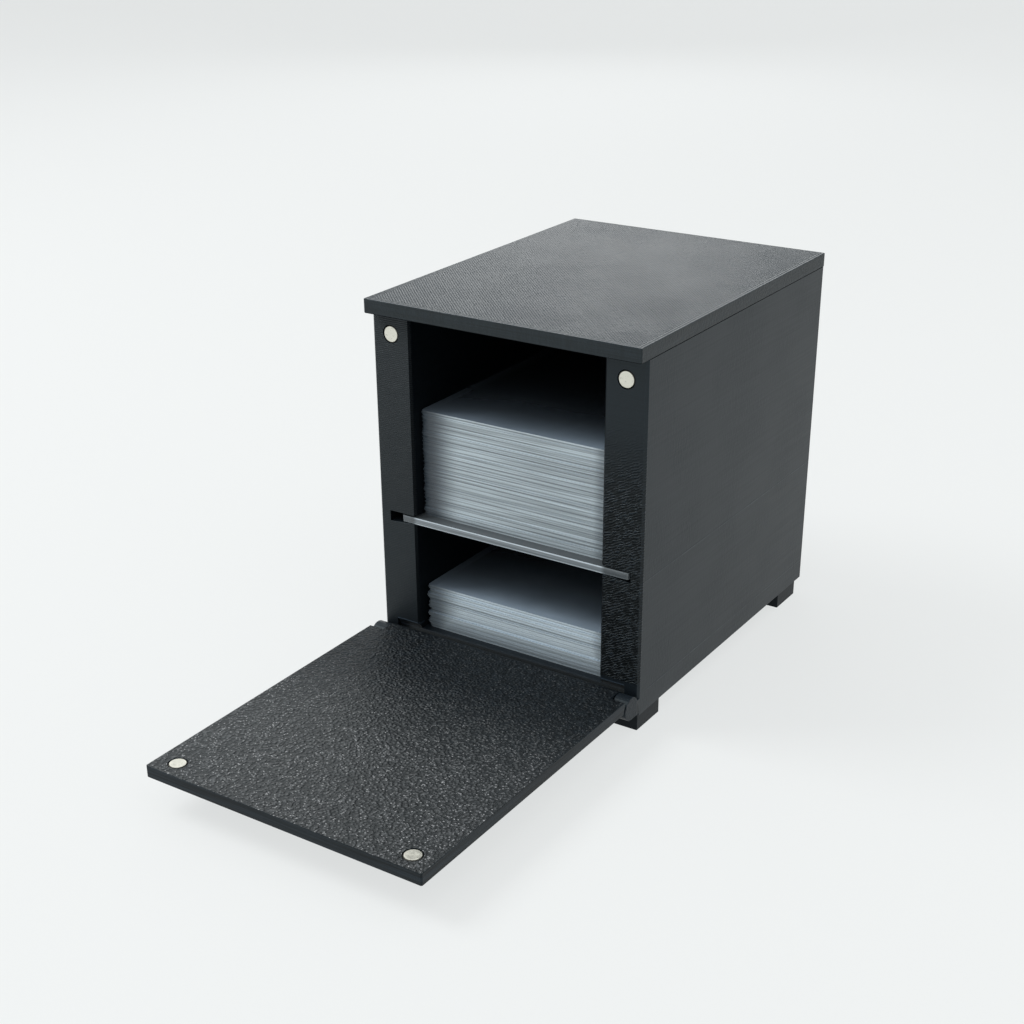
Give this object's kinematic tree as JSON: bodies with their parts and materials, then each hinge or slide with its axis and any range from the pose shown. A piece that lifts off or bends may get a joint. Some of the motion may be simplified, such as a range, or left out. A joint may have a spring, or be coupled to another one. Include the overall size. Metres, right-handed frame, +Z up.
{
  "type": "trading card storage box",
  "caption": "Upright black box for trading cards with a fold-down front door, lift-off lid, clear shelf and stacked clear card holders.",
  "frame": {"origin": "on the table plane, under the middle of the whole outline with the door open", "axes": "+Z up, the door opens towards -Y, +X is the box's right side seen from the front"},
  "size_m": [0.11, 0.2638, 0.1406],
  "materials": {
    "black_print": "layered satin",
    "black_textured": "fine pebbled",
    "steel": "drawn",
    "clear_sheet": "polished",
    "clear_holder": "milky clear",
    "magnet_plate": "satin nickel"
  },
  "bodies": {
    "box": {"box_shell": "black_print", "hinge_pin": "steel", "shelf": "clear_sheet", "magnets_post": "magnet_plate", "feet": "black_print", "upper_card_holders": "clear_holder", "lower_card_holders": "clear_holder"},
    "door": {"door": "black_textured", "magnets_door": "magnet_plate"},
    "lid": {"lid": "black_print"}
  },
  "joints": [
    {"name": "door_hinge", "type": "hinge", "parent": "box", "child": "door", "pos_m": [0, -0.00905, 0.0117], "axis": [-1, 0, 0], "range_deg": [0, 90]},
    {"name": "lid_lift", "type": "slide", "parent": "box", "child": "lid", "axis": [0, 0, 1], "range_m": [0, 0.03]}
  ]
}
